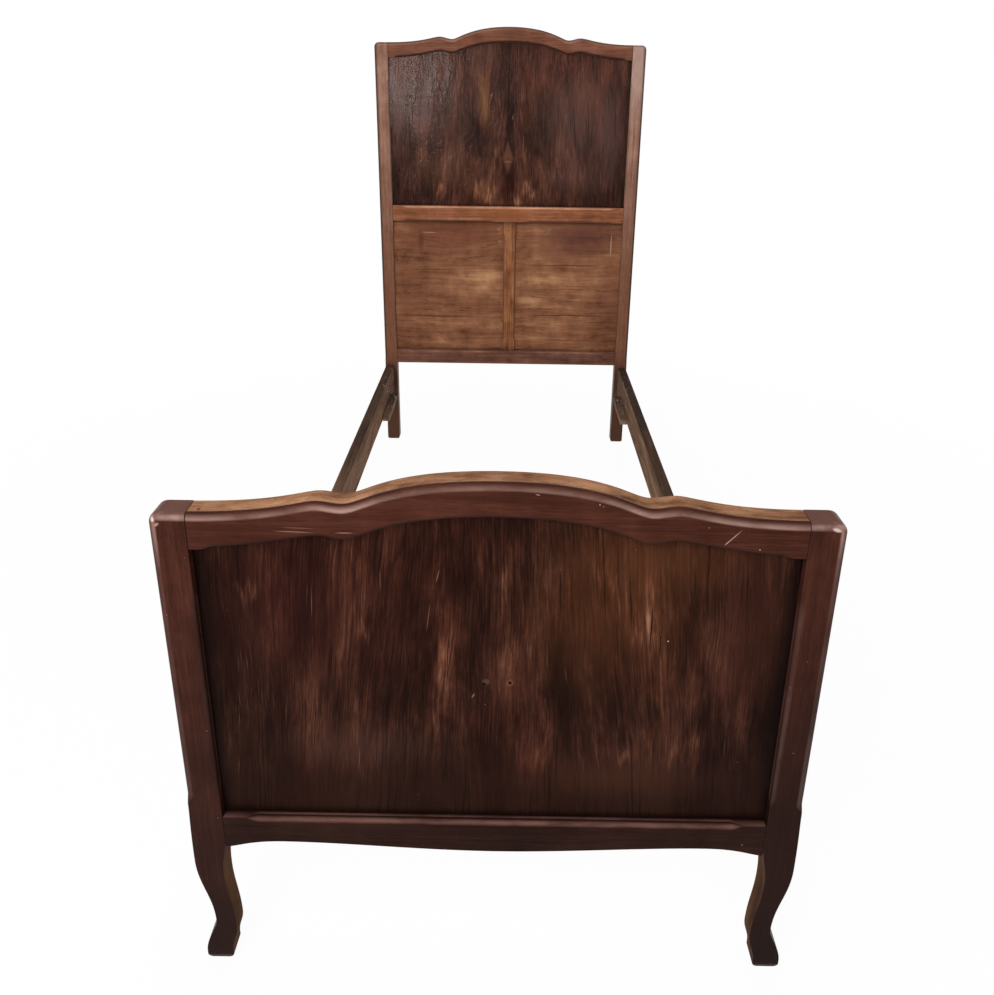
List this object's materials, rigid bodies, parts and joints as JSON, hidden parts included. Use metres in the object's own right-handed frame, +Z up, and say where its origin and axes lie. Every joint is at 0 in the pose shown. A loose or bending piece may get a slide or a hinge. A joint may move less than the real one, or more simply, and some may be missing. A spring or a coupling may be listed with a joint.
{
  "type": "single bed",
  "caption": "Wooden single bed frame: tall panelled headboard, lower panelled footboard, serpentine top rails, cabriole foot legs and side rails that lift off hook plates.",
  "frame": {"origin": "on the floor, at the middle of the bed's length and width", "axes": "+X to the right seen from the foot end, +Y from the foot end to the head end, +Z up"},
  "size_m": [0.86, 2.058, 1.396],
  "materials": {
    "dark_walnut": "wax-polished, worn on the arrises",
    "figured_dark_veneer": "polished veneer with upright figure",
    "red_walnut": "wax-polished, faded",
    "figured_veneer": "polished veneer with upright figure",
    "level_grain_veneer": "waxed, level grain",
    "grey_brown_wood": "unpolished, dusty",
    "forged_iron": "dark forged iron"
  },
  "bodies": {
    "bed_ends": {"footboard_bottom_rail": "dark_walnut", "footboard_left_post": "dark_walnut", "footboard_panel": "figured_dark_veneer", "footboard_right_post": "dark_walnut", "footboard_top_rail": "dark_walnut", "headboard_bottom_rail": "red_walnut", "headboard_left_post": "red_walnut", "headboard_lower_left_panel": "level_grain_veneer", "headboard_lower_right_panel": "level_grain_veneer", "headboard_mid_rail": "red_walnut", "headboard_muntin": "red_walnut", "headboard_right_post": "red_walnut", "headboard_top_rail": "red_walnut", "headboard_upper_panel": "figured_veneer", "left_foot_post_plate": "forged_iron", "left_head_post_plate": "forged_iron", "right_foot_post_plate": "forged_iron", "right_head_post_plate": "forged_iron"},
    "left_rail": {"left_foot_cleat": "grey_brown_wood", "left_foot_hook_plate": "forged_iron", "left_head_cleat": "grey_brown_wood", "left_head_hook_plate": "forged_iron", "left_side_rail": "grey_brown_wood"},
    "right_rail": {"right_foot_cleat": "grey_brown_wood", "right_foot_hook_plate": "forged_iron", "right_head_cleat": "grey_brown_wood", "right_head_hook_plate": "forged_iron", "right_side_rail": "grey_brown_wood"}
  },
  "joints": [
    {"name": "left_rail_lift", "type": "slide", "parent": "bed_ends", "child": "left_rail", "axis": [0, 0, 1], "range_m": [0, 0.012]},
    {"name": "right_rail_lift", "type": "slide", "parent": "bed_ends", "child": "right_rail", "axis": [0, 0, 1], "range_m": [0, 0.012]}
  ]
}
